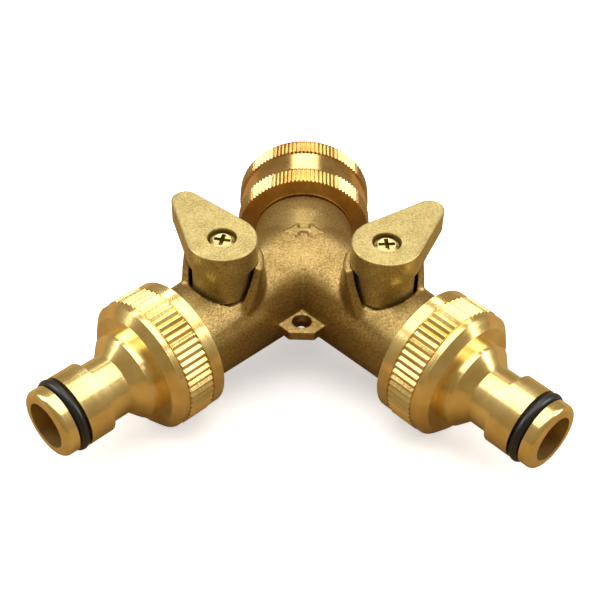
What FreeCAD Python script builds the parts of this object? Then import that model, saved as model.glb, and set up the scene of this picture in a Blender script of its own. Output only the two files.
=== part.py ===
import FreeCAD, Part
import math
import os
import Sketcher
from FreeCAD import Placement, Rotation, Vector

# Brass two-way hose splitter with a ball valve in each leg.
# Millimetres. Origin at the centre of the inlet mouth, +Y out of the inlet, +Z up.
# Inside each sub-part the lengths run from the junction J, where the three pipe axes meet,
# or from the ball centre, with local +Z along the sub-part's own axis.

DIMENSIONS = [
    # Pipe layout.
    ("inlet_length", 30.0),
    ("leg_angle", 45.0),
    ("valve_distance", 25.95),
    ("outlet_end", 49.5),
    # Casting.
    ("leg_radius", 12.0),
    ("neck_radius", 12.2),
    ("inlet_bore", 7.5),
    ("waterway_radius", 5.6),
    ("chamber_radius", 8.2),
    ("neck_shoulder", 12.4),
    ("spigot_radius", 10.4),
    ("spigot_end", 17.8),
    ("outlet_thread_start", 41.0),
    ("outlet_thread_radius", 12.6),
    ("thread_lead_in", 0.8),
    ("wall_outer", 9.5),
    ("wall_top", 17.6),
    ("wall_slope", 27.4),
    ("wall_crest", 0.5),
    ("wall_facing", 18.0),
    ("pocket_radius", 7.8),
    ("pocket_floor", 9.6),
    ("gland_radius", 4.6),
    ("gland_top", 14.0),
    ("lug_thickness", 2.4),
    ("lug_shoulder_x", 5.8),
    ("lug_shoulder_y", 22.0),
    ("lug_nose_x", 2.9),
    ("lug_nose_y", 25.0),
    ("lug_hole_radius", 2.2),
    ("lug_hole_y", 21.0),
    ("mark_width", 9.3),
    ("mark_height", 4.7),
    ("mark_bar", 1.1),
    ("mark_head", 3.2),
    ("mark_relief", 0.55),
    ("mark_y", 1.15),
    # Inlet nut, swivel ring and washer.
    ("nut_radius", 16.7),
    ("nut_back", 12.74),
    ("nut_back_band_end", 17.9),
    ("nut_front_band_start", 25.0),
    ("nut_waist_radius", 16.2),
    ("nut_wall_end", 18.0),
    ("washer_seat_radius", 12.3),
    ("washer_seat_end", 20.7),
    ("nut_edge", 0.8),
    ("nut_back_edge", 0.2),
    ("inlet_thread_radius", 12.06),
    ("inlet_knurls", 104),
    ("knurl_depth", 0.4),
    ("knurl_width", 0.9),
    ("ring_inner", 9.75),
    ("ring_outer", 11.2),
    ("ring_start", 14.5),
    ("ring_thickness", 1.6),
    ("ring_split", 3.0),
    ("inlet_washer_thickness", 2.5),
    # Ball, seats and retainer.
    ("ball_radius", 8.0),
    ("ball_bore", 5.0),
    ("slot_width", 3.1),
    ("slot_floor", 5.9),
    ("seat_bore", 5.4),
    ("seat_depth", 8.2),
    ("seat_lip", 6.25),
    ("seat_face", 3.4),
    ("seat_face_radius", 7.47),
    ("retainer_length", 5.3),
    ("retainer_bore", 5.5),
    ("retainer_slot", 1.6),
    # Stem.
    ("tang_length", 5.6),
    ("flange_radius", 3.9),
    ("flange_bottom", 8.4),
    ("flange_top", 9.1),
    ("stem_radius", 3.0),
    ("stem_shoulder", 14.3),
    ("stem_top", 19.0),
    ("stem_square", 4.2),
    ("stem_ring_radius", 0.45),
    ("stem_groove_depth", 0.85),
    ("stem_groove_width", 1.0),
    ("stem_ring_low", 10.9),
    ("stem_ring_high", 12.6),
    ("screw_hole_radius", 1.15),
    ("screw_hole_depth", 4.6),
    # Lever.
    ("hub_radius", 7.0),
    ("hub_bottom", 9.9),
    ("plate_radius", 8.0),
    ("plate_bottom", 18.0),
    ("plate_top", 23.7),
    ("plate_edge", 0.5),
    ("tail_distance", 16.3),
    ("tail_radius", 3.3),
    ("hub_hollow", 4.8),
    ("socket_top", 19.2),
    ("screw_recess_radius", 3.35),
    ("screw_recess_depth", 2.5),
    ("stop_radius", 5.85),
    ("stop_peg", 0.75),
    ("stop_height", 1.2),
    ("lever_travel", 90.0),
    ("left_turn", 10.5),
    ("right_turn", 5.0),
    # Lever screw.
    ("head_radius", 3.0),
    ("head_height", 1.9),
    ("head_edge", 0.9),
    ("shank_length", 5.4),
    ("cross_length", 3.8),
    ("cross_width", 0.95),
    ("cross_depth", 1.4),
    # Outlet adapter.
    ("adapter_back", 38.5),
    ("adapter_back_face", 13.8),
    ("adapter_chamfer_end", 39.7),
    ("adapter_radius", 15.8),
    ("collar_radius", 15.6),
    ("back_collar_end", 42.6),
    ("groove_radius", 15.1),
    ("ribs_start", 43.0),
    ("ribs_end", 49.3),
    ("front_collar_start", 49.7),
    ("front_collar_end", 51.1),
    ("front_face", 53.0),
    ("front_face_radius", 13.4),
    ("adapter_seat", 51.7),
    ("barrel_radius", 10.4),
    ("barrel_end", 55.7),
    ("neck_start", 58.7),
    ("nipple_neck_radius", 7.2),
    ("neck_end", 64.3),
    ("collar_start", 64.7),
    ("nipple_collar_radius", 8.5),
    ("nipple_collar_end", 70.8),
    ("tip_start", 73.7),
    ("tip_radius", 8.04),
    ("tip_end", 76.8),
    ("tip_round", 1.3),
    ("nipple_bore", 5.5),
    ("throat_radius", 4.9),
    ("throat_end", 66.0),
    ("o_ring_section", 1.15),
    ("o_ring_centre", 7.55),
    ("o_ring_groove", 6.35),
    ("adapter_ribs", 60),
    ("rib_depth", 0.5),
    ("rib_width", 1.45),
    ("outlet_washer_bore", 6.5),
    # Clearances.
    ("thread_gap", 0.15),
    ("slide_gap", 0.1),
    ("shaft_gap", 0.1),
    ("socket_gap", 0.05),
    ("face_gap", 0.05),
    ("hub_gap", 0.2),
    ("swivel_gap", 0.1),
    ("cut_past", 1.0),
]

doc = FreeCAD.newDocument("hose_splitter")
sheet = doc.addObject("Spreadsheet::Sheet", "Sizes")
for row, (alias, number) in enumerate(DIMENSIONS, start=1):
    sheet.set(f"A{row}", alias)
    sheet.set(f"B{row}", str(number))
    sheet.setAlias(f"B{row}", alias)
doc.recompute()


class Size:
    """A length: its present value and the expression that keeps it bound to the sheet."""

    def __init__(self, value, text):
        self.value = value
        self.text = text

    def __add__(self, other):
        return Size(self.value + other.value, f"({self.text} + {other.text})")

    def __sub__(self, other):
        return Size(self.value - other.value, f"({self.text} - {other.text})")

    def __mul__(self, factor):
        return Size(self.value * factor, f"({self.text} * {factor})")


def size(alias):
    """The sheet entry with this name."""
    return Size(float(sheet.get(alias)), f"Sizes.{alias}")


ZERO = Size(0.0, "0")
UP = Vector(0, 0, 1)


def bind(item, name, length):
    """Keep one property of a feature equal to a size."""
    item.setExpression(name, length.text)


# ---- Frames: where the junction, the legs, the inlet and the valves are ----


def junction_frame():
    return Placement(Vector(0, -size("inlet_length").value, 0), Rotation())


def inlet_axis():
    """Local +Z turned to point out of the inlet."""
    return Placement(Vector(), Rotation(Vector(1, 0, 0), -90))


def leg_axis(side):
    """Local +Z along one leg; side is -1 for the left leg and 1 for the right."""
    angle = math.radians(size("leg_angle").value)
    outward = Vector(side * math.sin(angle), -math.cos(angle), 0)
    across = UP.cross(outward)
    return Placement(Vector(), Rotation(across, UP, outward, "ZYX"))


def valve_axis(side, turned):
    """Vertical frame on one ball centre, turned about +Z by an angle in degrees."""
    centre = leg_axis(side).multVec(Vector(0, 0, size("valve_distance").value))
    return Placement(centre, Rotation(UP, turned))


def to_junction_angle(side):
    """Direction from a valve back to the junction, in degrees from +X."""
    return 90 + side * size("leg_angle").value


def tail_angle(side):
    """Direction of the lever tail at rest: across the leg when shut, less the turn made."""
    name = "left_turn" if side < 0 else "right_turn"
    shut = to_junction_angle(side) - side * size("lever_travel").value
    return shut + side * size(name).value


def side_name(side, word):
    return ("left_" if side < 0 else "right_") + word


# ---- Feature helpers ----


def cylinder(name, radius, height, base=ZERO, sweep=None, turned=0.0):
    """Upright cylinder, or a sector of one, standing at a height."""
    item = doc.addObject("Part::Cylinder", name)
    bind(item, "Radius", radius)
    bind(item, "Height", height)
    if sweep is not None:
        bind(item, "Angle", sweep)
    item.Placement = Placement(Vector(), Rotation(UP, turned))
    bind(item, "Placement.Base.z", base)
    return item


def block(name, length, width, height, base):
    """Upright block centred on the vertical axis, standing at a height."""
    item = doc.addObject("Part::Box", name)
    bind(item, "Length", length)
    bind(item, "Width", width)
    bind(item, "Height", height)
    bind(item, "Placement.Base.x", length * -0.5)
    bind(item, "Placement.Base.y", width * -0.5)
    bind(item, "Placement.Base.z", base)
    return item


def fuse(name, items):
    item = doc.addObject("Part::MultiFuse", name)
    item.Shapes = items
    return item


def cut(name, base, tools):
    """Base less all the tools."""
    item = doc.addObject("Part::Cut", name)
    item.Base = base
    item.Tool = tools[0] if len(tools) == 1 else fuse(name + "_tools", tools)
    return item


def closed_sketch(body, name, plane, corners):
    """Closed outline in one of the body's planes; every corner is held by two sizes."""
    sketch = body.newObject("Sketcher::SketchObject", name)
    for feature in body.Origin.OriginFeatures:
        if feature.Role == plane:
            sketch.AttachmentSupport = [(feature, "")]
    sketch.MapMode = "FlatFace"
    points = [Vector(x.value, y.value, 0) for x, y in corners]
    for index, start in enumerate(points):
        end = points[(index + 1) % len(points)]
        sketch.addGeometry(Part.LineSegment(start, end), False)
    for index in range(len(points)):
        following = (index + 1) % len(points)
        sketch.addConstraint(Sketcher.Constraint("Coincident", index, 2, following, 1))
    for index, (x, y) in enumerate(corners):
        hold(sketch, index, "DistanceX", x, -2)
        hold(sketch, index, "DistanceY", y, -1)
    return sketch


def hold(sketch, index, kind, length, axis):
    """Hold the start of a line at a distance from an axis, or on it."""
    if length is ZERO:
        sketch.addConstraint(Sketcher.Constraint("PointOnObject", index, 1, axis))
        return
    number = sketch.addConstraint(Sketcher.Constraint(kind, -1, 1, index, 1, length.value))
    sketch.setExpression(f"Constraints[{number}]", length.text)


def turned_body(name, corners):
    """Solid turned about local Z from (radius, height) corners."""
    body = doc.addObject("PartDesign::Body", name)
    sketch = closed_sketch(body, name + "_outline", "XZ_Plane", corners)
    turn = body.newObject("PartDesign::Revolution", name + "_turn")
    turn.Profile = sketch
    turn.ReferenceAxis = (sketch, ["V_Axis"])
    turn.Angle = 360
    sketch.Visibility = False
    return body


def circle_edges(feature, radius, height):
    """Names of the circular edges of one radius at one height about local Z."""
    doc.recompute()
    near = 1e-4
    found = []
    for number, edge in enumerate(feature.Shape.Edges, start=1):
        if not isinstance(edge.Curve, Part.Circle):
            continue
        same_radius = abs(edge.Curve.Radius - radius.value) < near
        same_height = abs(edge.Curve.Center.z - height.value) < near
        if same_radius and same_height:
            found.append(f"Edge{number}")
    return found


def round_edges(body, name, places, radius):
    """Fillet the circular edges named by (radius, height) places."""
    feature = body.Tip
    edges = []
    for edge_radius, height in places:
        edges += circle_edges(feature, edge_radius, height)
    fillet = body.newObject("PartDesign::Fillet", name)
    fillet.Base = (feature, edges)
    bind(fillet, "Radius", radius)


def ribbed(body, name, outer, depth, width, count, end, length):
    """Cut a ring of V grooves along the axis, so ridges stand between them."""
    sketch = body.newObject("Sketcher::SketchObject", name + "_groove")
    for feature in body.Origin.OriginFeatures:
        if feature.Role == "XY_Plane":
            sketch.AttachmentSupport = [(feature, "")]
    sketch.MapMode = "FlatFace"
    bind(sketch, "AttachmentOffset.Base.z", end)
    root = outer - depth
    past = outer + depth
    low = Vector(past.value, -width.value, 0)
    high = Vector(past.value, width.value, 0)
    bottom = Vector(root.value, 0, 0)
    for start, finish in ((bottom, high), (high, low), (low, bottom)):
        sketch.addGeometry(Part.LineSegment(start, finish), False)
    for index in range(3):
        sketch.addConstraint(Sketcher.Constraint("Coincident", index, 2, (index + 1) % 3, 1))
    hold(sketch, 0, "DistanceX", root, -2)
    sketch.addConstraint(Sketcher.Constraint("PointOnObject", 0, 1, -1))
    hold(sketch, 1, "DistanceX", past, -2)
    sketch.addConstraint(Sketcher.Constraint("Symmetric", 1, 1, 1, 2, -1))
    opening = width * 2.0
    number = sketch.addConstraint(Sketcher.Constraint("DistanceY", 2, 1, 1, 1, opening.value))
    sketch.setExpression(f"Constraints[{number}]", opening.text)
    pocket = body.newObject("PartDesign::Pocket", name + "_pocket")
    pocket.Profile = sketch
    bind(pocket, "Length", length)
    doc.recompute()
    pattern = body.newObject("PartDesign::PolarPattern", name + "_ring")
    pattern.Originals = [pocket]
    pattern.Axis = (sketch, ["N_Axis"])
    pattern.Angle = 360
    bind(pattern, "Occurrences", count)
    body.Tip = pattern
    sketch.Visibility = False


# ---- Casting ----


def casting_neck():
    """Inlet neck with the stepped spigot and the groove for the swivel ring."""
    spigot = size("spigot_radius")
    groove = size("ring_inner") - size("swivel_gap")
    groove_start = size("ring_start") - size("swivel_gap")
    groove_end = size("ring_start") + size("ring_thickness") + size("swivel_gap")
    neck = turned_body("neck", [
        (ZERO, ZERO),
        (size("neck_radius"), ZERO),
        (size("neck_radius"), size("neck_shoulder")),
        (spigot, size("neck_shoulder")),
        (spigot, groove_start),
        (groove, groove_start),
        (groove, groove_end),
        (spigot, groove_end),
        (spigot, size("spigot_end")),
        (ZERO, size("spigot_end")),
    ])
    neck.Placement = inlet_axis()
    return neck


def casting_leg(side):
    """Leg pipe ending in the outlet thread."""
    thread = size("outlet_thread_radius")
    lead = size("thread_lead_in")
    leg = turned_body(side_name(side, "leg"), [
        (ZERO, ZERO),
        (size("leg_radius"), ZERO),
        (size("leg_radius"), size("outlet_thread_start")),
        (thread, size("outlet_thread_start")),
        (thread, size("outlet_end") - lead),
        (thread - lead, size("outlet_end")),
        (ZERO, size("outlet_end")),
    ])
    leg.Placement = leg_axis(side)
    return leg


def casting_valve(side):
    """Guard wall round the lever hub, sloped away in front, and the gland of the stem."""
    past = size("cut_past")
    outer = size("wall_outer")
    top = size("wall_top")
    span = outer * 4.0
    slope = doc.addObject("Part::Box", side_name(side, "wall_cut"))
    for edge in ("Length", "Width", "Height"):
        bind(slope, edge, span)
    lean = Rotation(Vector(0, 1, 0), -size("wall_slope").value)
    crest = Placement(Vector(size("wall_crest").value, 0, top.value), lean)
    corner = Placement(Vector(0, -span.value / 2, -span.value / 2), Rotation())
    front = Placement(Vector(), Rotation(UP, side * size("wall_facing").value - 90))
    slope.Placement = front.multiply(crest).multiply(corner)
    wall = cut(
        side_name(side, "guard_wall"),
        cylinder(side_name(side, "wall_outside"), outer, top),
        [cylinder(side_name(side, "wall_inside"), size("pocket_radius"), top + past), slope],
    )
    wall.Placement = valve_axis(side, 0)
    gland = cylinder(side_name(side, "gland"), size("gland_radius"), size("gland_top"))
    gland.Placement = valve_axis(side, 0)
    return [wall, gland]


def casting_lug():
    """Flat five-sided lug in the crotch of the legs."""
    body = doc.addObject("PartDesign::Body", "lug")
    shoulder = size("lug_shoulder_x")
    nose = size("lug_nose_x")
    width = shoulder * 2.0
    sketch = closed_sketch(body, "lug_outline", "XY_Plane", [
        (ZERO, ZERO),
        (width, ZERO),
        (width, size("lug_shoulder_y")),
        (shoulder + nose, size("lug_nose_y")),
        (shoulder - nose, size("lug_nose_y")),
        (ZERO, size("lug_shoulder_y")),
    ])
    pad = body.newObject("PartDesign::Pad", "lug_pad")
    pad.Profile = sketch
    bind(pad, "Length", size("lug_thickness"))
    half = size("lug_thickness").value / 2
    flip = Rotation(Vector(1, 0, 0), 180)
    body.Placement = Placement(Vector(-shoulder.value, 0, half), flip)
    return body


def casting_mark():
    """Raised double-headed arrow on the junction, following its round top."""
    body = doc.addObject("PartDesign::Body", "arrow")
    width = size("mark_width")
    height = size("mark_height")
    bar = size("mark_bar")
    head = size("mark_head")
    middle = height * 0.5
    low = middle - bar * 0.5
    high = middle + bar * 0.5
    sketch = closed_sketch(body, "arrow_outline", "XY_Plane", [
        (ZERO, middle),
        (head, ZERO),
        (head, low),
        (width - head, low),
        (width - head, ZERO),
        (width, middle),
        (width - head, height),
        (width - head, high),
        (head, high),
        (head, height),
    ])
    pad = body.newObject("PartDesign::Pad", "arrow_pad")
    pad.Profile = sketch
    bind(pad, "Length", size("neck_radius") * 2.0)
    left = -width.value / 2
    back = -size("mark_y").value - middle.value
    body.Placement = Placement(Vector(left, back, 0), Rotation())
    relief = size("mark_relief")
    over_neck = cylinder("over_neck", size("neck_radius") + relief, width)
    over_neck.Placement = inlet_axis()
    over = [over_neck]
    for side in (-1, 1):
        over_leg = cylinder(side_name(side, "over_leg"), size("leg_radius") + relief, width)
        over_leg.Placement = leg_axis(side)
        over.append(over_leg)
    over_corner = doc.addObject("Part::Sphere", "over_corner")
    bind(over_corner, "Radius", size("neck_radius") + relief)
    over.append(over_corner)
    mark = doc.addObject("Part::Common", "mark")
    mark.Base = body
    mark.Tool = fuse("mark_top", over)
    return mark


def casting_bores():
    """Inlet bore, rounded junction of the waterways and the hanging hole."""
    past = size("cut_past")
    inlet = cylinder("inlet_bore", size("inlet_bore"), size("spigot_end") + past)
    inlet.Placement = inlet_axis()
    meeting = doc.addObject("Part::Sphere", "meeting")
    bind(meeting, "Radius", size("inlet_bore"))
    hole = cylinder("lug_hole", size("lug_hole_radius"), size("lug_thickness") + past)
    bind(hole, "Placement.Base.y", size("lug_hole_y") * -1.0)
    bind(hole, "Placement.Base.z", (size("lug_thickness") + past) * -0.5)
    return [inlet, meeting, hole]


def casting_valve_bores(side):
    """Waterway, ball chamber, stem bore and the round pocket the hub turns in."""
    past = size("cut_past")
    floor = size("pocket_floor")
    chamber_start = size("valve_distance") - size("seat_depth")
    way = turned_body(side_name(side, "way"), [
        (ZERO, ZERO),
        (size("waterway_radius"), ZERO),
        (size("waterway_radius"), chamber_start),
        (size("chamber_radius"), chamber_start),
        (size("chamber_radius"), size("outlet_end") + past),
        (ZERO, size("outlet_end") + past),
    ])
    way.Placement = leg_axis(side)
    flange = size("flange_radius") + size("hub_gap")
    stem = turned_body(side_name(side, "stem_bore"), [
        (ZERO, ZERO),
        (flange, ZERO),
        (flange, size("flange_top") + size("shaft_gap")),
        (size("stem_radius") + size("shaft_gap"), size("flange_top") + size("shaft_gap")),
        (size("stem_radius") + size("shaft_gap"), size("gland_top") + past),
        (ZERO, size("gland_top") + past),
    ])
    stem.Placement = valve_axis(side, 0)
    pocket = turned_body(side_name(side, "pocket"), [
        (size("gland_radius"), floor),
        (size("pocket_radius"), floor),
        (size("pocket_radius"), size("wall_top") + past),
        (size("gland_radius"), size("wall_top") + past),
    ])
    pocket.Placement = valve_axis(side, 0)
    return [way, stem, pocket]


def casting_stop(side):
    """Peg on the pocket floor that ends the lever's quarter turn."""
    height = size("stop_height") + size("stop_peg")
    root = size("pocket_floor") - size("stop_peg")
    peg = cylinder(side_name(side, "peg"), size("stop_peg"), height, root)
    foot = Placement(Vector(size("stop_radius").value, 0, root.value), Rotation())
    peg.Placement = valve_axis(side, to_junction_angle(side)).multiply(foot)
    return peg


def make_valve_body():
    outside = [casting_neck(), casting_lug(), casting_mark()]
    corner = doc.addObject("Part::Sphere", "corner")
    bind(corner, "Radius", size("neck_radius"))
    outside.append(corner)
    inside = casting_bores()
    for side in (-1, 1):
        outside.append(casting_leg(side))
        outside += casting_valve(side)
        inside += casting_valve_bores(side)
    bored = cut("bored_casting", fuse("rough_casting", outside), inside)
    pegs = [casting_stop(side) for side in (-1, 1)]
    body = fuse("valve_body", [bored] + pegs)
    body.Placement = junction_frame()
    return body


# ---- Inlet: swivel nut, snap ring and washer ----


def make_inlet_nut():
    outer = size("nut_radius")
    edge = size("nut_edge")
    back_edge = size("nut_back_edge")
    back = size("nut_back")
    waist = size("nut_waist_radius")
    gap = size("swivel_gap")
    hole = size("spigot_radius") + gap
    groove = size("ring_outer") + gap
    groove_start = size("ring_start") - gap
    groove_end = size("ring_start") + size("ring_thickness") + gap
    front = size("inlet_length")
    thread = size("inlet_thread_radius")
    nut = turned_body("inlet_nut", [
        (hole, back),
        (outer - back_edge, back),
        (outer, back + back_edge),
        (outer, size("nut_back_band_end")),
        (waist, size("nut_back_band_end")),
        (waist, size("nut_front_band_start")),
        (outer, size("nut_front_band_start")),
        (outer, front - edge),
        (outer - edge, front),
        (thread, front),
        (thread, size("washer_seat_end")),
        (size("washer_seat_radius"), size("washer_seat_end")),
        (size("washer_seat_radius"), size("nut_wall_end")),
        (hole, size("nut_wall_end")),
        (hole, groove_end),
        (groove, groove_end),
        (groove, groove_start),
        (hole, groove_start),
    ])
    ribbed(nut, "inlet_knurl", outer, size("knurl_depth"), size("knurl_width"),
           size("inlet_knurls"), front + size("cut_past"), front)
    nut.Placement = junction_frame().multiply(inlet_axis())
    return nut


def make_swivel_ring():
    start = size("ring_start")
    end = start + size("ring_thickness")
    ring = turned_body("whole_ring", [
        (size("ring_inner"), start),
        (size("ring_outer"), start),
        (size("ring_outer"), end),
        (size("ring_inner"), end),
    ])
    gap = block("ring_gap", size("ring_split"), size("ring_outer") * 2.0, end, ZERO)
    bind(gap, "Placement.Base.y", ZERO)
    split = cut("swivel_ring", ring, [gap])
    split.Placement = junction_frame().multiply(inlet_axis())
    return split


def make_inlet_washer():
    start = size("nut_wall_end")
    end = start + size("inlet_washer_thickness")
    outer = size("washer_seat_radius") - size("socket_gap")
    washer = turned_body("inlet_washer", [
        (size("inlet_bore"), start),
        (outer, start),
        (outer, end),
        (size("inlet_bore"), end),
    ])
    washer.Placement = junction_frame().multiply(inlet_axis())
    return washer


# ---- Ball valves ----


def make_ball(side):
    whole = doc.addObject("Part::Sphere", side_name(side, "sphere"))
    bind(whole, "Radius", size("ball_radius"))
    across = size("ball_radius") * 2.0
    bore = cylinder(side_name(side, "ball_bore"), size("ball_bore"), across)
    bore.Placement = Placement(Vector(), Rotation(Vector(0, 1, 0), 90))
    bind(bore, "Placement.Base.x", size("ball_radius") * -1.0)
    slot = block(side_name(side, "ball_slot"), size("slot_width"), across, across,
                 size("slot_floor"))
    ball = cut(side_name(side, "ball"), whole, [bore, slot])
    ball.Placement = junction_frame().multiply(valve_axis(side, tail_angle(side)))
    return ball


def make_seat(side, word, outward):
    """Seat ring with a cone against the ball; outward is 1 on the outlet side."""
    centre = size("valve_distance")
    outer = size("chamber_radius") - size("slide_gap")

    def along(distance):
        return centre + distance if outward > 0 else centre - distance

    seat = turned_body(side_name(side, word), [
        (size("seat_bore"), along(size("seat_lip"))),
        (size("seat_bore"), along(size("seat_depth"))),
        (outer, along(size("seat_depth"))),
        (outer, along(size("seat_face"))),
        (size("seat_face_radius"), along(size("seat_face"))),
    ])
    seat.Placement = junction_frame().multiply(leg_axis(side))
    return seat


def make_seat_retainer(side):
    start = size("valve_distance") + size("seat_depth")
    end = start + size("retainer_length")
    outer = size("chamber_radius") - size("slide_gap")
    ring = turned_body(side_name(side, "retainer_ring"), [
        (size("retainer_bore"), start),
        (outer, start),
        (outer, end),
        (size("retainer_bore"), end),
    ])
    slot = block(side_name(side, "retainer_slot"), outer * 2.0 + size("cut_past"),
                 size("retainer_slot"), size("retainer_slot"), end - size("retainer_slot"))
    retainer = cut(side_name(side, "seat_retainer"), ring, [slot])
    retainer.Placement = junction_frame().multiply(leg_axis(side))
    return retainer


def stem_ring_heights():
    return (size("stem_ring_low"), size("stem_ring_high"))


def make_stem(side):
    """Stem with a tang in the ball's slot, a flange under the gland and a square top."""
    radius = size("stem_radius")
    root = radius - size("stem_groove_depth")
    half = size("stem_groove_width") * 0.5
    corners = [
        (ZERO, size("flange_bottom")),
        (size("flange_radius"), size("flange_bottom")),
        (size("flange_radius"), size("flange_top")),
        (radius, size("flange_top")),
    ]
    for height in stem_ring_heights():
        corners += [
            (radius, height - half),
            (root, height - half),
            (root, height + half),
            (radius, height + half),
        ]
    corners += [(radius, size("stem_shoulder")), (ZERO, size("stem_shoulder"))]
    shaft = turned_body(side_name(side, "stem_shaft"), corners)
    tang_bottom = size("slot_floor") + size("slide_gap")
    tang = block(side_name(side, "tang"), size("slot_width") - size("slide_gap"),
                 size("tang_length"), size("flange_top") - tang_bottom, tang_bottom)
    square = block(side_name(side, "square"), size("stem_square"), size("stem_square"),
                   size("stem_top") - size("stem_shoulder"), size("stem_shoulder"))
    hole = cylinder(side_name(side, "tapped_hole"), size("screw_hole_radius"),
                    size("screw_hole_depth") + size("cut_past"),
                    size("stem_top") - size("screw_hole_depth"))
    shape = fuse(side_name(side, "stem_blank"), [shaft, tang, square])
    stem = cut(side_name(side, "stem"), shape, [hole])
    stem.Placement = junction_frame().multiply(valve_axis(side, tail_angle(side)))
    return stem


def make_stem_o_rings(side):
    """The two seals in the stem's grooves."""
    rings = []
    section = size("stem_ring_radius")
    for number, height in enumerate(stem_ring_heights(), start=1):
        ring = doc.addObject("Part::Torus", side_name(side, f"stem_seal_{number}"))
        bind(ring, "Radius1", size("stem_radius") - size("stem_groove_depth") + section)
        bind(ring, "Radius2", section)
        bind(ring, "Placement.Base.z", height)
        rings.append(ring)
    pair = doc.addObject("Part::Compound", side_name(side, "stem_o_rings"))
    pair.Links = rings
    pair.Placement = junction_frame().multiply(valve_axis(side, tail_angle(side)))
    return pair


# ---- Levers ----


def lever_plate(side):
    """Pear-shaped plate: two arcs joined by their common tangents."""
    body = doc.addObject("PartDesign::Body", side_name(side, "plate"))
    sketch = body.newObject("Sketcher::SketchObject", side_name(side, "plate_outline"))
    for feature in body.Origin.OriginFeatures:
        if feature.Role == "XY_Plane":
            sketch.AttachmentSupport = [(feature, "")]
    sketch.MapMode = "FlatFace"
    bind(sketch, "AttachmentOffset.Base.z", size("plate_bottom"))
    big = size("plate_radius")
    small = size("tail_radius")
    reach = size("tail_distance")
    slope = math.acos((big.value - small.value) / reach.value)
    tip = Vector(reach.value, 0, 0)
    ray = Vector(math.cos(slope), math.sin(slope), 0)
    mirrored = Vector(ray.x, -ray.y, 0)
    round_end = Part.Circle(Vector(), UP, big.value)
    tail_end = Part.Circle(tip, UP, small.value)
    sketch.addGeometry(Part.ArcOfCircle(round_end, slope, 2 * math.pi - slope), False)
    sketch.addGeometry(Part.ArcOfCircle(tail_end, -slope, slope), False)
    sketch.addGeometry(Part.LineSegment(ray * big.value, tip + ray * small.value), False)
    sketch.addGeometry(
        Part.LineSegment(mirrored * big.value, tip + mirrored * small.value), False)
    sketch.addConstraint(Sketcher.Constraint("Tangent", 0, 1, 2, 1))
    sketch.addConstraint(Sketcher.Constraint("Tangent", 2, 2, 1, 2))
    sketch.addConstraint(Sketcher.Constraint("Tangent", 1, 1, 3, 2))
    sketch.addConstraint(Sketcher.Constraint("Tangent", 3, 1, 0, 2))
    sketch.addConstraint(Sketcher.Constraint("Coincident", 0, 3, -1, 1))
    sketch.addConstraint(Sketcher.Constraint("PointOnObject", 1, 3, -1))
    for kind, items, length in (
        ("Radius", (0,), big),
        ("Radius", (1,), small),
        ("DistanceX", (-1, 1, 1, 3), reach),
    ):
        number = sketch.addConstraint(Sketcher.Constraint(kind, *items, length.value))
        sketch.setExpression(f"Constraints[{number}]", length.text)
    pad = body.newObject("PartDesign::Pad", side_name(side, "plate_pad"))
    pad.Profile = sketch
    bind(pad, "Length", size("plate_top") - size("plate_bottom"))
    doc.recompute()
    top = size("plate_top").value
    edges = []
    for number, edge in enumerate(pad.Shape.Edges, start=1):
        box = edge.BoundBox
        if box.ZMin > top - 1e-4:
            edges.append(f"Edge{number}")
    fillet = body.newObject("PartDesign::Fillet", side_name(side, "plate_round"))
    fillet.Base = (pad, edges)
    bind(fillet, "Radius", size("plate_edge"))
    return body


def make_lever(side):
    """Lever with its hub, square socket, screw recess and the arc groove for the stop peg."""
    past = size("cut_past")
    bottom = size("hub_bottom")
    hub = cylinder(side_name(side, "hub"), size("hub_radius"),
                   size("plate_bottom") - bottom + past, bottom)
    hollow = cylinder(side_name(side, "hub_hollow"), size("hub_hollow"),
                      size("stem_shoulder") - bottom + past, bottom - past)
    across = size("stem_square") + size("socket_gap") * 2.0
    socket = block(side_name(side, "socket"), across, across,
                   size("socket_top") - bottom, bottom)
    recess = size("screw_recess_radius")
    recess_floor = size("plate_top") - size("screw_recess_depth")
    clear = size("screw_hole_radius") + size("hub_gap")
    screw_way = cylinder(side_name(side, "screw_way"), clear,
                         recess_floor - bottom + past, bottom)
    recess_cut = cylinder(side_name(side, "screw_recess"), recess,
                          size("screw_recess_depth") + past, recess_floor)
    tools = [hollow, socket, screw_way, recess_cut, stop_groove(side)]
    blank = fuse(side_name(side, "lever_blank"), [lever_plate(side), hub])
    lever = cut(side_name(side, "lever"), blank, tools)
    lever.Placement = junction_frame().multiply(valve_axis(side, tail_angle(side)))
    return lever


def stop_groove(side):
    """Arc groove under the hub: the peg meets one end open and the other end shut."""
    centre = size("stop_radius")
    half = size("stop_peg") + size("slide_gap")
    bottom = size("hub_bottom")
    past = size("cut_past")
    depth = size("stop_height") + size("hub_gap")
    margin = math.degrees(half.value / centre.value)
    sweep = size("lever_travel") + Size(2 * margin, str(2 * margin))
    start = -margin if side > 0 else -margin - size("lever_travel").value
    outside = cylinder(side_name(side, "groove_outside"), centre + half, depth + past,
                       bottom - past, sweep, start)
    inside = cylinder(side_name(side, "groove_inside"), centre - half,
                      depth + past * 3.0, bottom - past * 2.0)
    return cut(side_name(side, "stop_groove"), outside, [inside])


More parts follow.
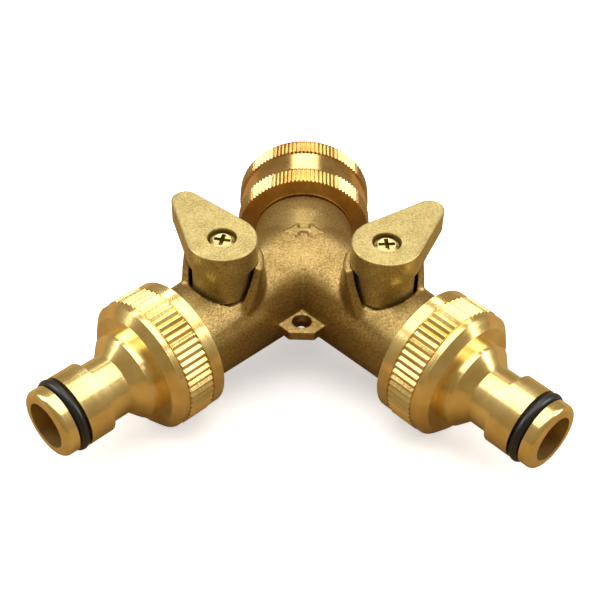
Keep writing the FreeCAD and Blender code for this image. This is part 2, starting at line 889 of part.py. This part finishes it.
def make_lever_screw(side):
    """Pan-head screw with a cross recess, holding the lever on the stem."""
    seat = size("plate_top") - size("screw_recess_depth")
    shank = size("screw_hole_radius")
    edge = size("head_edge")
    head = size("head_radius")
    top = seat + size("head_height")
    turned = turned_body(side_name(side, "screw_blank"), [
        (ZERO, seat - size("shank_length")),
        (shank, seat - size("shank_length")),
        (shank, seat),
        (head, seat),
        (head, top - edge),
        (head - edge * 0.3, top - edge * 0.3),
        (head - edge, top),
        (ZERO, top),
    ])
    length = size("cross_length")
    width = size("cross_width")
    depth = size("cross_depth")
    past = size("cut_past")
    slots = [
        block(side_name(side, "cross_one"), length, width, depth + past, top - depth),
        block(side_name(side, "cross_two"), width, length, depth + past, top - depth),
    ]
    screw = cut(side_name(side, "lever_screw"), turned, slots)
    screw.Placement = junction_frame().multiply(valve_axis(side, tail_angle(side) + 45))
    return screw


# ---- Outlet adapters ----


def make_outlet_adapter(side):
    """Union nut and hose nipple in one turned piece."""
    thread = size("outlet_thread_radius") + size("thread_gap")
    collar = size("collar_radius")
    groove = size("groove_radius")
    adapter = turned_body(side_name(side, "outlet_adapter"), [
        (thread, size("adapter_back")),
        (size("adapter_back_face"), size("adapter_back")),
        (collar, size("adapter_chamfer_end")),
        (collar, size("back_collar_end")),
        (groove, size("back_collar_end")),
        (groove, size("ribs_start")),
        (size("adapter_radius"), size("ribs_start")),
        (size("adapter_radius"), size("ribs_end")),
        (groove, size("ribs_end")),
        (groove, size("front_collar_start")),
        (collar, size("front_collar_start")),
        (collar, size("front_collar_end")),
        (size("front_face_radius"), size("front_face")),
        (size("barrel_radius"), size("front_face")),
        (size("barrel_radius"), size("barrel_end")),
        (size("nipple_neck_radius"), size("neck_start")),
        (size("nipple_neck_radius"), size("neck_end")),
        (size("nipple_collar_radius"), size("collar_start")),
        (size("nipple_collar_radius"), size("nipple_collar_end")),
        (size("o_ring_groove"), size("nipple_collar_end")),
        (size("o_ring_groove"), size("tip_start")),
        (size("tip_radius"), size("tip_start")),
        (size("tip_radius"), size("tip_end")),
        (size("nipple_bore"), size("tip_end")),
        (size("nipple_bore"), size("throat_end")),
        (size("throat_radius"), size("throat_end")),
        (size("throat_radius"), size("adapter_seat")),
        (thread, size("adapter_seat")),
    ])
    round_edges(adapter, side_name(side, "tip_rounding"),
                [(size("tip_radius"), size("tip_end"))], size("tip_round"))
    length = size("ribs_end") - size("ribs_start")
    ribbed(adapter, side_name(side, "adapter_ribs"), size("adapter_radius"), size("rib_depth"),
           size("rib_width"), size("adapter_ribs"), size("ribs_end"), length)
    adapter.Placement = junction_frame().multiply(leg_axis(side))
    return adapter


def make_outlet_washer(side):
    start = size("outlet_end") + size("face_gap")
    end = size("adapter_seat") - size("face_gap")
    outer = size("outlet_thread_radius")
    washer = turned_body(side_name(side, "outlet_washer"), [
        (size("outlet_washer_bore"), start),
        (outer, start),
        (outer, end),
        (size("outlet_washer_bore"), end),
    ])
    washer.Placement = junction_frame().multiply(leg_axis(side))
    return washer


def make_nipple_o_ring(side):
    ring = doc.addObject("Part::Torus", side_name(side, "nipple_o_ring"))
    bind(ring, "Radius1", size("o_ring_centre"))
    bind(ring, "Radius2", size("o_ring_section"))
    middle = (size("nipple_collar_end") + size("tip_start")) * 0.5
    centre = Placement(Vector(0, 0, middle.value), Rotation())
    ring.Placement = junction_frame().multiply(leg_axis(side)).multiply(centre)
    return ring


# ---- Assembly ----

pieces = [make_valve_body(), make_inlet_nut(), make_swivel_ring(), make_inlet_washer()]
for side in (-1, 1):
    pieces += [
        make_ball(side),
        make_seat(side, "inner_seat", -1),
        make_seat(side, "outer_seat", 1),
        make_seat_retainer(side),
        make_stem(side),
        make_stem_o_rings(side),
        make_lever(side),
        make_lever_screw(side),
        make_outlet_adapter(side),
        make_outlet_washer(side),
        make_nipple_o_ring(side),
    ]

doc.recompute()
for item in doc.Objects:
    if "Invalid" in item.State or "Error" in item.State:
        raise RuntimeError(f"{item.Label} is not valid: {item.State}")

os.makedirs("parts", exist_ok=True)
for piece in pieces:
    if piece.Shape.isNull() or not piece.Shape.isValid():
        raise RuntimeError(f"{piece.Label} has no valid shape")
    piece.Shape.exportStep(f"parts/{piece.Label}.step")
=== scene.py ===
import math

import bpy
import numpy as np
from mathutils import Matrix, Vector


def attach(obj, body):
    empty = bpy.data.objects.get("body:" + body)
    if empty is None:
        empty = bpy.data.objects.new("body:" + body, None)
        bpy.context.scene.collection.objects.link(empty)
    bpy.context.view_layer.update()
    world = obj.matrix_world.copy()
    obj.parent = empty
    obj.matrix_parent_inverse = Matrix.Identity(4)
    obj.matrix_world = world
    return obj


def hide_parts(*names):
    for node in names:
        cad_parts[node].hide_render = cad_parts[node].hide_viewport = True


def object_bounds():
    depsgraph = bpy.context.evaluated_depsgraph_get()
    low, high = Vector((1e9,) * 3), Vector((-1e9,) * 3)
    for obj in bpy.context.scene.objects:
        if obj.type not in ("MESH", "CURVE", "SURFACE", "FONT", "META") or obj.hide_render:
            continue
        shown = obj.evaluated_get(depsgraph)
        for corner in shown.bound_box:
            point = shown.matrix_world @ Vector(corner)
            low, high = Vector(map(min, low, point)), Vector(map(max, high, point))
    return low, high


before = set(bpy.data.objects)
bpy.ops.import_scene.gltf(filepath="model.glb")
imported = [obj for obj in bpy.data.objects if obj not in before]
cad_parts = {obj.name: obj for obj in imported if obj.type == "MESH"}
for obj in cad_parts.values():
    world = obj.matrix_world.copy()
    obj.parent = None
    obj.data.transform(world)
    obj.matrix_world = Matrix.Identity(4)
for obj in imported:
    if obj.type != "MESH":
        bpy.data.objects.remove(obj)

cad_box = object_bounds()


# ---- Cast body ----
# One brass casting: an inlet neck that splits into two legs, a curved guard wall round
# each lever's hub, a five-sided lug with a hanging hole and a raised arrow on the top.
# The foundry skin is blasted to a fine grain; the hub pockets are machined afterwards.

MM = 0.001
JUNCTION = Vector((0, -30 * MM, 0))
LEG_OUT = {"left": Vector((-1, -1, 0)).normalized(), "right": Vector((1, -1, 0)).normalized()}
VALVE_DISTANCE = 25.95 * MM
THREAD_PITCH = 1.814 * MM


def link(obj):
    bpy.context.scene.collection.objects.link(obj)
    return obj


def mesh_object(name, vertices, faces, smooth=True):
    mesh = bpy.data.meshes.new(name)
    mesh.from_pydata([tuple(v) for v in vertices], [], faces)
    mesh.polygons.foreach_set("use_smooth", [smooth] * len(mesh.polygons))
    mesh.validate()
    mesh.update()
    return link(bpy.data.objects.new(name, mesh))


def copy_of(node, name):
    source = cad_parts[node]
    return link(bpy.data.objects.new(name, source.data.copy()))


def points_of(mesh):
    points = np.zeros(len(mesh.vertices) * 3)
    mesh.vertices.foreach_get("co", points)
    return points.reshape(-1, 3)


def distance_to_axis(points, origin, axis):
    """Distance of each point along an axis and away from it."""
    offset = points - np.array(origin)
    along = offset @ np.array(axis)
    across = np.linalg.norm(offset - np.outer(along, np.array(axis)), axis=1)
    return along, across


def noise_node(tree, coordinates, scale, detail, roughness=0.5):
    noise = tree.nodes.new("ShaderNodeTexNoise")
    noise.inputs["Scale"].default_value = scale
    noise.inputs["Detail"].default_value = detail
    noise.inputs["Roughness"].default_value = roughness
    tree.links.new(coordinates, noise.inputs["Vector"])
    return noise.outputs["Fac"]


def map_range(tree, value, low, high, to_low, to_high):
    node = tree.nodes.new("ShaderNodeMapRange")
    for name, number in (("From Min", low), ("From Max", high),
                         ("To Min", to_low), ("To Max", to_high)):
        node.inputs[name].default_value = number
    tree.links.new(value, node.inputs["Value"])
    return node.outputs["Result"]


def mix_colour(tree, factor, first, second):
    node = tree.nodes.new("ShaderNodeMix")
    node.data_type = "RGBA"
    node.inputs["A"].default_value = (*first, 1)
    node.inputs["B"].default_value = (*second, 1)
    tree.links.new(factor, node.inputs["Factor"])
    return node.outputs["Result"]


def bump(tree, height, strength, distance):
    node = tree.nodes.new("ShaderNodeBump")
    node.inputs["Strength"].default_value = strength
    node.inputs["Distance"].default_value = distance
    tree.links.new(height, node.inputs["Height"])
    return node.outputs["Normal"]


def new_material(name):
    material = bpy.data.materials.new(name)
    material.use_nodes = True
    tree = material.node_tree
    shader = tree.nodes["Principled BSDF"]
    coordinates = tree.nodes.new("ShaderNodeTexCoord").outputs["Object"]
    return material, tree, shader, coordinates


def grained_metal(name, dark, light, grain_size, grain_depth, roughness, metallic=1.0):
    """Metal with a speckled grain: pits are darker and rougher than the lands."""
    material, tree, shader, coordinates = new_material(name)
    fine = noise_node(tree, coordinates, 1 / grain_size, 4, 0.6)
    broad = noise_node(tree, coordinates, 1 / (grain_size * 14), 3)
    speckle = map_range(tree, fine, 0.36, 0.62, 0, 1)
    blotch = map_range(tree, broad, 0.3, 0.7, -0.25, 0.25)
    total = tree.nodes.new("ShaderNodeMath")
    total.operation = "ADD"
    total.use_clamp = True
    tree.links.new(speckle, total.inputs[0])
    tree.links.new(blotch, total.inputs[1])
    tree.links.new(mix_colour(tree, total.outputs[0], dark, light), shader.inputs["Base Color"])
    rough = map_range(tree, total.outputs[0], 0, 1, roughness + 0.08, roughness - 0.05)
    tree.links.new(rough, shader.inputs["Roughness"])
    tree.links.new(bump(tree, fine, 1.0, grain_depth), shader.inputs["Normal"])
    shader.inputs["Metallic"].default_value = metallic
    return material


def remeshed(obj, voxel):
    """The object's mesh rebuilt as an even skin, so that its hard CAD joins can be blended."""
    modifier = obj.modifiers.new("skin", "REMESH")
    modifier.mode = "VOXEL"
    modifier.voxel_size = voxel
    bpy.context.view_layer.update()
    evaluated = obj.evaluated_get(bpy.context.evaluated_depsgraph_get())
    mesh = bpy.data.meshes.new_from_object(evaluated)
    obj.modifiers.clear()
    obj.data = mesh
    mesh.polygons.foreach_set("use_smooth", [True] * len(mesh.polygons))
    return mesh


def relax(mesh, points, weight, rounds):
    """Pull each point toward its neighbours' average, by its weight."""
    edges = np.zeros(len(mesh.edges) * 2, np.int64)
    mesh.edges.foreach_get("vertices", edges)
    first, second = edges.reshape(-1, 2).T
    count = np.bincount(first, minlength=len(points)) + np.bincount(second, minlength=len(points))
    count = np.maximum(count, 1)
    for _ in range(rounds):
        for axis in range(3):
            value = points[:, axis]
            total = np.bincount(first, weights=value[second], minlength=len(points))
            total += np.bincount(second, weights=value[first], minlength=len(points))
            points[:, axis] = value + weight * 0.5 * (total / count - value)
    return points


def helix(name, origin, axis, start, length, root, crest, body, material):
    """Screw thread ridge wound round an axis, its section a blunt V from root to crest."""
    side_one = Vector((0, 0, 1)).cross(axis).normalized()
    side_two = axis.cross(side_one)
    steps = 64
    faded_rings = 20
    least_height = 0.02
    turns = length / THREAD_PITCH
    rings = int(turns * steps)
    base = THREAD_PITCH * 0.46
    tip = THREAD_PITCH * 0.10
    vertices = []
    faces = []
    for ring in range(rings + 1):
        angle = 2 * math.pi * ring / steps
        travel = start + length * ring / rings
        fade = min(1.0, ring / faded_rings, (rings - ring) / faded_rings)
        top = root + (crest - root) * max(fade, least_height)
        outward = side_one * math.cos(angle) + side_two * math.sin(angle)
        for radius, shift in ((root, -base), (top, -tip), (top, tip), (root, base)):
            vertices.append(origin + outward * radius + axis * (travel + shift))
    for ring in range(rings):
        for corner in range(3):
            low = ring * 4 + corner
            faces.append((low, low + 1, low + 5, low + 4))
    thread = mesh_object(name, vertices, faces)
    thread.data.materials.append(material)
    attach(thread, body)
    return thread


def paint_hollow_shade(material, colour):
    """Painted shade: darkens the colour in inside corners and hollows, where pointiness is low,
    standing in for the shade that falls there.
    """
    tree = material.node_tree
    target = tree.nodes["Principled BSDF"].inputs["Base Color"]
    unshaded = target.links[0].from_socket
    pointed = tree.nodes.new("ShaderNodeNewGeometry").outputs["Pointiness"]
    hollow_shade = tree.nodes.new("ShaderNodeMix")
    hollow_shade.data_type = "RGBA"
    hollow_shade.inputs["A"].default_value = (*colour, 1)
    tree.links.new(map_range(tree, pointed, 0.44, 0.496, 0, 1), hollow_shade.inputs["Factor"])
    tree.links.new(unshaded, hollow_shade.inputs["B"])
    tree.links.new(hollow_shade.outputs["Result"], target)


cast_brass = grained_metal("cast_brass", (0.29, 0.19, 0.06), (0.52, 0.375, 0.145),
                           0.45 * MM, 0.055 * MM, 0.45)
# Painted shade in the casting's hollows and round the raised arrow, a dark brown.
paint_hollow_shade(cast_brass, (0.13, 0.075, 0.02))

# The legs' thread zones are narrowed to the thread's root, for the ridges to stand on.
THREAD_CREST = 12.6
THREAD_CORE = 12.0
THREAD_ZONE_START = 40.5 * MM
THREAD_ZONE_RADIUS = 11.5 * MM

casting = copy_of("valve_body", "cast_body")
points = points_of(casting.data)
for outward in LEG_OUT.values():
    along, across = distance_to_axis(points, JUNCTION, outward)
    thread_zone = (along > THREAD_ZONE_START) & (across > THREAD_ZONE_RADIUS)
    axis_point = np.array(JUNCTION) + np.outer(along, np.array(outward))
    narrowed = axis_point + (points - axis_point) * (THREAD_CORE / THREAD_CREST)
    points[thread_zone] = narrowed[thread_zone]
casting.data.vertices.foreach_set("co", points.ravel())
voxel = 0.27 * MM
skin = remeshed(casting, voxel)
points = points_of(skin)

# Outside surfaces of neck and legs are blended; bores, threads and hub pockets are not.
NECK_END, NECK_BORE_SIDE = 11.6 * MM, 8.4 * MM
LEG_END, LEG_BORE_SIDE = 39.5 * MM, 9.4 * MM
POCKET_EDGE, POCKET_FLOOR = 8.05 * MM, 9.3 * MM
inlet_along, inlet_across = distance_to_axis(points, JUNCTION, (0, 1, 0))
blend = (inlet_along < NECK_END) & ((inlet_across > NECK_BORE_SIDE) | (inlet_along < 0))
for outward in LEG_OUT.values():
    along, across = distance_to_axis(points, JUNCTION, outward)
    blend &= (along < LEG_END) & ((across > LEG_BORE_SIDE) | (along < 0))
    centre = JUNCTION + outward * VALVE_DISTANCE
    _, valve_across = distance_to_axis(points, centre, (0, 0, 1))
    blend &= ~((valve_across < POCKET_EDGE) & (points[:, 2] > POCKET_FLOOR))

# The raised arrow and the lug keep their edges; the crotch keeps part of its crease.
ARROW_Y = -31.2 * MM
ARROW_HALF_WIDTH, ARROW_HALF_HEIGHT, ARROW_FLOOR = 5.2 * MM, 2.9 * MM, 8 * MM
LUG_HALF_THICKNESS, LUG_HALF_WIDTH, LUG_START = 1.6 * MM, 6.5 * MM, -48.5 * MM
CROTCH_HALF_WIDTH, CROTCH_START = 2.2 * MM, -34 * MM
EDGE_WEIGHT, CREASE_WEIGHT = 0.02, 0.25
mark_zone = np.abs(points[:, 0]) < ARROW_HALF_WIDTH
mark_zone &= np.abs(points[:, 1] - ARROW_Y) < ARROW_HALF_HEIGHT
mark_zone &= points[:, 2] > ARROW_FLOOR
lug_zone = (np.abs(points[:, 2]) < LUG_HALF_THICKNESS) & (points[:, 1] < LUG_START)
lug_zone &= np.abs(points[:, 0]) < LUG_HALF_WIDTH
crotch_zone = (np.abs(points[:, 0]) < CROTCH_HALF_WIDTH) & (points[:, 1] < CROTCH_START)
crotch_zone &= points[:, 2] > 0
creased = np.where(crotch_zone, CREASE_WEIGHT, 1.0)
weight = blend * np.where(mark_zone | lug_zone, EDGE_WEIGHT, creased)
rounds = 30
points = relax(skin, points, weight, rounds)
skin.vertices.foreach_set("co", points.ravel())
skin.update()
casting.data.materials.clear()
casting.data.materials.append(cast_brass)
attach(casting, "splitter_body")
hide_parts("valve_body")
for side, outward in LEG_OUT.items():
    thread = helix(side + "_outlet_thread", JUNCTION, outward, start=42.3 * MM,
                   length=6.0 * MM, root=11.9 * MM, crest=THREAD_CREST * MM,
                   body="splitter_body", material=cast_brass)


# ---- Inlet ----
# A swivelling nut, straight-knurled in two bands with a plain waist, turned from brass
# bar and cut inside with the tap thread; a flat rubber washer and a split snap ring.


def turned_metal(name, dark, light, roughness, groove, axis_turn, metallic=1.0):
    """Machined metal: fine rings round the piece's own axis and faint patches of tarnish."""
    material, tree, shader, coordinates = new_material(name)
    turn = tree.nodes.new("ShaderNodeMapping")
    turn.inputs["Rotation"].default_value = (0, 0, axis_turn)
    tree.links.new(coordinates, turn.inputs["Vector"])
    stretch = tree.nodes.new("ShaderNodeMapping")
    stretch.inputs["Scale"].default_value = (8, 2600, 8)
    tree.links.new(turn.outputs["Vector"], stretch.inputs["Vector"])
    rings = noise_node(tree, stretch.outputs["Vector"], 1.0, 2)
    patches = noise_node(tree, coordinates, 160, 4, 0.55)
    tarnish = map_range(tree, patches, 0.32, 0.66, 0, 1)
    tree.links.new(mix_colour(tree, tarnish, dark, light), shader.inputs["Base Color"])
    rough = map_range(tree, rings, 0.3, 0.7, roughness + 0.05, roughness - 0.03)
    tree.links.new(rough, shader.inputs["Roughness"])
    tree.links.new(bump(tree, rings, 0.35, groove), shader.inputs["Normal"])
    shader.inputs["Metallic"].default_value = metallic
    return material


def plain(name, colour, roughness, metallic=0.0, patch=0.06):
    """Even material whose roughness and tone wander slightly."""
    material, tree, shader, coordinates = new_material(name)
    drift = noise_node(tree, coordinates, 420, 3)
    darker = tuple(c * 0.82 for c in colour)
    tree.links.new(mix_colour(tree, drift, darker, colour), shader.inputs["Base Color"])
    tree.links.new(map_range(tree, drift, 0.3, 0.7, roughness + patch, roughness - patch),
                   shader.inputs["Roughness"])
    shader.inputs["Metallic"].default_value = metallic
    return material


def soften(obj, edge):
    """Small worn edge on sharp corners, none where the edge is 0."""
    if edge:
        bevel = obj.modifiers.new("worn_edge", "BEVEL")
        bevel.width = edge
        bevel.segments = 2
        bevel.limit_method = "ANGLE"
        bevel.angle_limit = math.radians(28)
        bevel.harden_normals = True


def dress(node, material, edge=0.12 * MM):
    """Finish a carried-over CAD piece: its material and a small worn edge."""
    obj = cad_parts[node]
    obj.data.materials.clear()
    obj.data.materials.append(material)
    soften(obj, edge)


nut_brass = turned_metal("nut_brass", (0.62, 0.39, 0.14), (0.88, 0.61, 0.25), 0.20,
                         0.03 * MM, 0)
nut = copy_of("inlet_nut", "swivel_nut")
points = points_of(nut.data)
# The bore is widened to the thread's root, for the ridge to stand in.
BORE_RADIUS, BORE_ROOT, BORE_TOLERANCE = 12.06, 13.15, 0.08
bore = np.hypot(points[:, 0], points[:, 2]) / MM
bore_wall = np.abs(bore - BORE_RADIUS) < BORE_TOLERANCE
points[bore_wall, 0] *= BORE_ROOT / BORE_RADIUS
points[bore_wall, 2] *= BORE_ROOT / BORE_RADIUS
nut.data.vertices.foreach_set("co", points.ravel())
nut.data.update()
nut.data.materials.clear()
nut.data.materials.append(nut_brass)
soften(nut, 0.1 * MM)
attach(nut, "inlet_swivel")
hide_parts("inlet_nut")
inlet_thread = helix("inlet_thread", JUNCTION, Vector((0, 1, 0)), start=21.7 * MM,
                     length=7.2 * MM, root=13.2 * MM, crest=12.1 * MM,
                     body="inlet_swivel", material=nut_brass)

black_rubber = plain("black_rubber", (0.012, 0.012, 0.014), 0.36)
spring_steel = plain("spring_steel", (0.55, 0.55, 0.57), 0.3, 1.0)
dress("inlet_washer", black_rubber, 0.1 * MM)
dress("swivel_ring", spring_steel, 0)


# ---- Ball valves ----
# In each leg a chromed ball turns between two fluoropolymer seats held by a slotted brass
# ring; a brass stem with two rubber seals reaches up through the gland to the lever.

chrome = plain("chromed_ball", (0.86, 0.86, 0.88), 0.08, 1.0, 0.02)
fluoropolymer = plain("seat_plastic", (0.86, 0.86, 0.84), 0.45)
stem_brass = plain("stem_brass", (0.80, 0.60, 0.28), 0.22, 1.0)
for side in LEG_OUT:
    dress(side + "_ball", chrome, 0)
    dress(side + "_inner_seat", fluoropolymer, 0)
    dress(side + "_outer_seat", fluoropolymer, 0)
    dress(side + "_seat_retainer", stem_brass)
    dress(side + "_stem", stem_brass, 0)
    dress(side + "_stem_o_rings", black_rubber, 0)


# ---- Levers ----
# Pear-shaped cast levers, blasted matte, each on its stem's square under a pan-head screw
# with a cross recess, plated yellow zinc.

lever_brass = grained_metal("lever_brass", (0.37, 0.285, 0.11), (0.61, 0.495, 0.205),
                            0.34 * MM, 0.035 * MM, 0.47)
yellow_zinc = plain("yellow_zinc", (0.50, 0.39, 0.17), 0.24, 1.0)
for side in LEG_OUT:
    dress(side + "_lever", lever_brass, 0.15 * MM)
    dress(side + "_lever_screw", yellow_zinc, 0.08 * MM)


# ---- Outlet adapters ----
# Ribbed union nut and hose nipple in one polished turning, with a flat washer inside and
# a black O-ring in the groove behind its rounded tip.

for side, turn in (("left", math.pi / 4), ("right", -math.pi / 4)):
    polished = turned_metal(side + "_polished_brass", (0.78, 0.57, 0.20),
                            (0.95, 0.755, 0.33), 0.19, 0.02 * MM, turn, 0.9)
    dress(side + "_outlet_adapter", polished, 0.15 * MM)
    dress(side + "_outlet_washer", black_rubber, 0)
    dress(side + "_nipple_o_ring", black_rubber, 0)


# ---- Studio ----
# A white sweep under soft boxes, seen from above the outlets.

# The floor slopes: it touches the inlet nut and passes 0.3 mm under the two outlet nuts.
FLOOR_AT_OUTLETS = -16.1 * MM
NUT_SPACING = -53.5 * MM
INLET_NUT_MIDDLE = 9 * MM
REACH = 3
lowest = cad_box[0][2]
tilt = (FLOOR_AT_OUTLETS - lowest) / NUT_SPACING
near, far = [lowest + tilt * (reach + INLET_NUT_MIDDLE) for reach in (-REACH, REACH)]
floor = mesh_object("floor", [(-REACH, -REACH, near), (REACH, -REACH, near),
                              (REACH, REACH, far), (-REACH, REACH, far)], [(0, 1, 2, 3)])
floor_material, floor_tree, floor_shader, _ = new_material("white_floor")
seen = floor_tree.nodes.new("ShaderNodeLightPath").outputs["Is Camera Ray"]
# Painted shade: the floor is white only to camera rays. To reflected and bounced rays it is dark
# brown, which paints shade into the brass undersides and lower faces.
floor_tree.links.new(mix_colour(floor_tree, seen, (0.32, 0.22, 0.11), (0.94, 0.94, 0.95)),
                     floor_shader.inputs["Base Color"])
floor_tree.links.new(mix_colour(floor_tree, seen, (0, 0, 0), (1, 1, 1)),
                     floor_shader.inputs["Emission Color"])
floor_shader.inputs["Emission Strength"].default_value = 0.5
floor_shader.inputs["Roughness"].default_value = 0.8
floor_shader.inputs["Specular IOR Level"].default_value = 0
floor.data.materials.append(floor_material)


def soft_box(name, place, size, power, colour=(1, 1, 1)):
    light = bpy.data.lights.new(name, "AREA")
    light.shape = "RECTANGLE"
    light.size, light.size_y = size
    light.energy = power
    light.color = colour
    lamp = link(bpy.data.objects.new(name, light))
    lamp.location = place
    aim = Vector((0, -0.05, 0)) - Vector(place)
    lamp.rotation_euler = aim.to_track_quat("-Z", "Y").to_euler()


soft_box("top_box", (0.0, 0.05, 0.75), (1.1, 0.8), 6.4)
soft_box("left_box", (-0.65, 0.05, 0.40), (0.3, 0.4), 2.8)
soft_box("right_box", (0.65, 0.0, 0.38), (0.3, 0.4), 2.7)
soft_box("back_box", (0.0, 0.75, 0.62), (0.5, 0.16), 1.3)

world = bpy.data.worlds.new("studio")
bpy.context.scene.world = world
world.use_nodes = True
background = world.node_tree.nodes["Background"]
path = world.node_tree.nodes.new("ShaderNodeLightPath")
shade = world.node_tree.nodes.new("ShaderNodeMix")
shade.data_type = "RGBA"
shade.inputs["A"].default_value = (0.29, 0.225, 0.13, 1)
shade.inputs["B"].default_value = (1, 1, 1, 1)
world.node_tree.links.new(path.outputs["Is Camera Ray"], shade.inputs["Factor"])
world.node_tree.links.new(shade.outputs["Result"], background.inputs["Color"])
background.inputs["Strength"].default_value = 1

azimuth = math.radians(-0.53)
elevation = math.radians(42.7)
roll = math.radians(1.91)
back = Vector((math.sin(azimuth) * math.cos(elevation),
               -math.cos(azimuth) * math.cos(elevation), math.sin(elevation)))
level = Vector((math.cos(azimuth), math.sin(azimuth), 0))
upright = back.cross(level)
across = level * math.cos(roll) + upright * math.sin(roll)
upward = upright * math.cos(roll) - level * math.sin(roll)
sideways, raised, distance, sunk = -0.675, -8.0, 303.2, 0.6
eye = JUNCTION + (across * sideways + upward * raised + back * distance
                  - Vector((0, 0, sunk))) * MM
lens = bpy.data.cameras.new("camera")
lens.sensor_width = 36
lens.lens = 73.7
lens.clip_start = 0.01
camera = link(bpy.data.objects.new("camera", lens))
camera.matrix_world = Matrix((
    (across.x, upward.x, back.x, eye.x),
    (across.y, upward.y, back.y, eye.y),
    (across.z, upward.z, back.z, eye.z),
    (0, 0, 0, 1),
))
bpy.context.scene.camera = camera
bpy.context.scene.view_settings.view_transform = "Standard"
